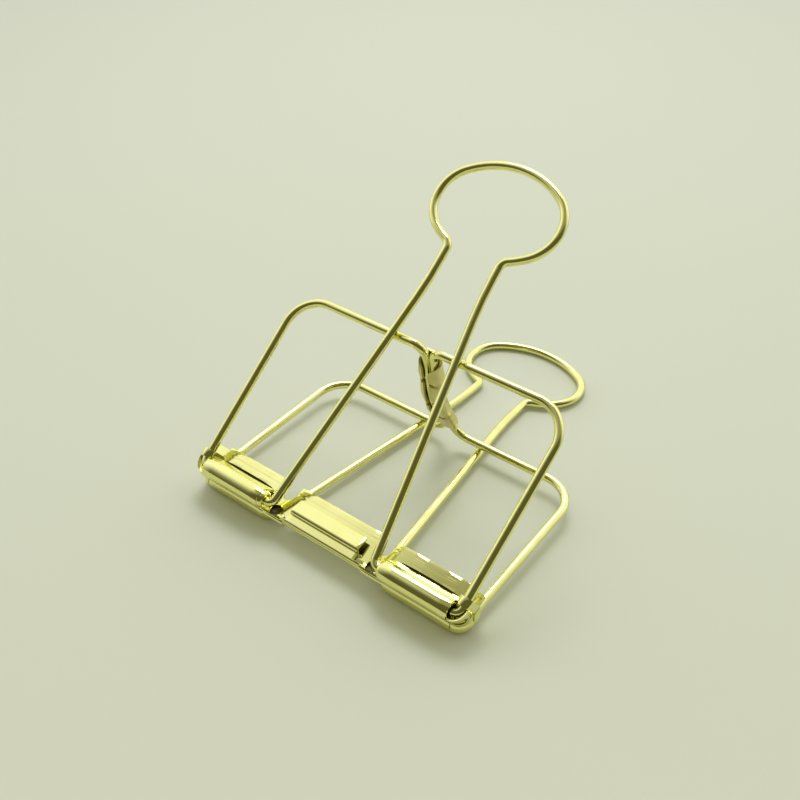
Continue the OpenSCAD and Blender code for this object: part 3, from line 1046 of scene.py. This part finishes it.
def soft_light(name, direction, studio, size, power, tint, mirrored=True):
    """A square soft lamp that faces the camera's target, mirrored by the metal or not."""
    target = Vector(studio.target)
    place = target + direction.normalized() * studio.lamp_distance
    lamp = bpy.data.lights.new(name, "AREA")
    lamp.shape = "SQUARE"
    lamp.size = size
    lamp.energy = power
    lamp.color = tint
    holder = bpy.data.objects.new(name, lamp)
    holder.location = place
    holder.rotation_euler = (target - place).to_track_quat("-Z", "Y").to_euler()
    holder.visible_glossy = mirrored
    bpy.context.scene.collection.objects.link(holder)


def blend(nodes, links, value, edge, below, above):
    """A colour that passes from one to another, colour or socket, as a value crosses an edge."""
    ramp = new_node(nodes, "ShaderNodeMapRange", {"From Min": edge[0], "From Max": edge[1]})
    ramp.interpolation_type = "SMOOTHSTEP"
    links.new(value, ramp.inputs["Value"])
    mix = nodes.new("ShaderNodeMix")
    mix.data_type = "RGBA"
    links.new(ramp.outputs["Result"], mix.inputs["Factor"])
    for socket, source in (("A", below), ("B", above)):
        if hasattr(source, "default_value"):
            links.new(source, mix.inputs[socket])
        else:
            mix.inputs[socket].default_value = (*source, 1)
    return mix.outputs["Result"]


class CLIP_OT_studio(Operator):
    """Set the camera, the pale floor and the soft light"""

    bl_idname = "clip.studio"
    bl_label = "Studio"

    def hang_room(self, studio, behind):
        """Light from a pale screen behind the clip, with a dim room in front."""
        world = bpy.data.worlds.new("room")
        bpy.context.scene.world = world
        world.use_nodes = True
        nodes, links = world.node_tree.nodes, world.node_tree.links
        place = nodes.new("ShaderNodeTexCoord")
        backward = nodes.new("ShaderNodeVectorMath")
        backward.operation = "DOT_PRODUCT"
        backward.inputs[1].default_value = behind
        links.new(place.outputs["Generated"], backward.inputs[0])
        height = nodes.new("ShaderNodeSeparateXYZ")
        links.new(place.outputs["Generated"], height.inputs["Vector"])
        screen = [studio.screen_level * part for part in studio.screen]
        walls = blend(nodes, links, backward.outputs["Value"], SCREEN_EDGE, studio.room, screen)
        room = blend(nodes, links, height.outputs["Z"], CEILING_EDGE, walls, studio.ceiling)
        links.new(room, nodes["Background"].inputs["Color"])

    def set_camera(self, scene, studio):
        """The camera that took the photograph."""
        target = Vector(studio.target)
        level = math.cos(studio.elevation)
        x, y = math.sin(studio.azimuth) * level, -math.cos(studio.azimuth) * level
        back = Vector((x, y, math.sin(studio.elevation)))
        lens = bpy.data.cameras.new("photo_camera")
        lens.lens = studio.lens
        lens.sensor_width = 36
        lens.clip_start, lens.clip_end = 0.005, 20
        camera = bpy.data.objects.new("photo_camera", lens)
        camera.location = target + back * studio.distance
        camera.rotation_euler = (-back).to_track_quat("-Z", "Y").to_euler()
        scene.collection.objects.link(camera)
        scene.camera = camera

    def lay_floor(self, studio):
        """The pale floor that the clip lies on."""
        ground = bmesh.new()
        bmesh.ops.create_grid(ground, x_segments=8, y_segments=8, size=FLOOR_HALF_WIDTH)
        floor = new_object("floor", ground)
        floor.location.z = cad_bounds[0][2]
        paper = bpy.data.materials.new("pale_floor")
        paper.use_nodes = True
        surface = paper.node_tree.nodes["Principled BSDF"]
        surface.inputs["Base Color"].default_value = (*studio.floor, 1)
        surface.inputs["Roughness"].default_value = FLOOR_ROUGHNESS
        floor.data.materials.append(paper)

    def execute(self, context):
        scene, studio = context.scene, context.scene.clip_studio
        scene.view_settings.view_transform = "Standard"
        self.set_camera(scene, studio)
        self.lay_floor(studio)
        behind = Vector((math.sin(studio.screen_turn), -math.cos(studio.screen_turn), 0))
        key_way = Vector((0, 0, studio.key_rise)) + behind
        fill_way = Vector((0, 0, studio.fill_rise)) - behind
        key, fill = (studio.key_size, studio.key_power), (studio.fill_size, studio.fill_power)
        soft_light("key_light", key_way, studio, *key, studio.screen)
        soft_light("fill_light", fill_way, studio, *fill, studio.fill_tint, mirrored=False)
        self.hang_room(studio, behind)
        return {"FINISHED"}


# ---------------------------------------------------------------- the panel and the run


class CLIP_PT_panel(Panel):
    """Lists the clip's pieces and its sizes"""

    bl_idname = "CLIP_PT_panel"
    bl_label = "Letter Clip"
    bl_space_type = "VIEW_3D"
    bl_region_type = "UI"
    bl_category = "Letter Clip"

    def draw(self, context):
        for operator in OPERATORS:
            self.layout.operator(operator.bl_idname)
        for name, group in GROUPS.items():
            box = self.layout.box()
            box.label(text=group.__doc__)
            for size in group.__annotations__:
                box.prop(getattr(context.scene, name), size)


GROUPS = {
    "clip_wire": WireSizes,
    "clip_frame": FrameSizes,
    "clip_jaw": JawSizes,
    "clip_handle": HandleSizes,
    "clip_sleeve": SleeveSizes,
    "clip_plating": PlatingLook,
    "clip_studio": StudioSetup,
}
OPERATORS = (
    CLIP_OT_studio,
    CLIP_OT_frame_legs,
    CLIP_OT_spine_wires,
    CLIP_OT_handles,
    CLIP_OT_jaws,
    CLIP_OT_sleeve,
)


def register():
    """Adds the panel, its operators and the sizes."""
    for group in (*GROUPS.values(), *OPERATORS, CLIP_PT_panel):
        bpy.utils.register_class(group)
    for name, group in GROUPS.items():
        setattr(bpy.types.Scene, name, PointerProperty(type=group))


def unregister():
    """Takes the panel, its operators and the sizes away."""
    for name in GROUPS:
        delattr(bpy.types.Scene, name)
    for group in (CLIP_PT_panel, *reversed(OPERATORS), *reversed(GROUPS.values())):
        bpy.utils.unregister_class(group)


def main():
    """Builds the studio and every piece."""
    register()
    for operator in OPERATORS:
        group, name = operator.bl_idname.split(".")
        getattr(getattr(bpy.ops, group), name)()


if __name__ == "__main__":
    main()
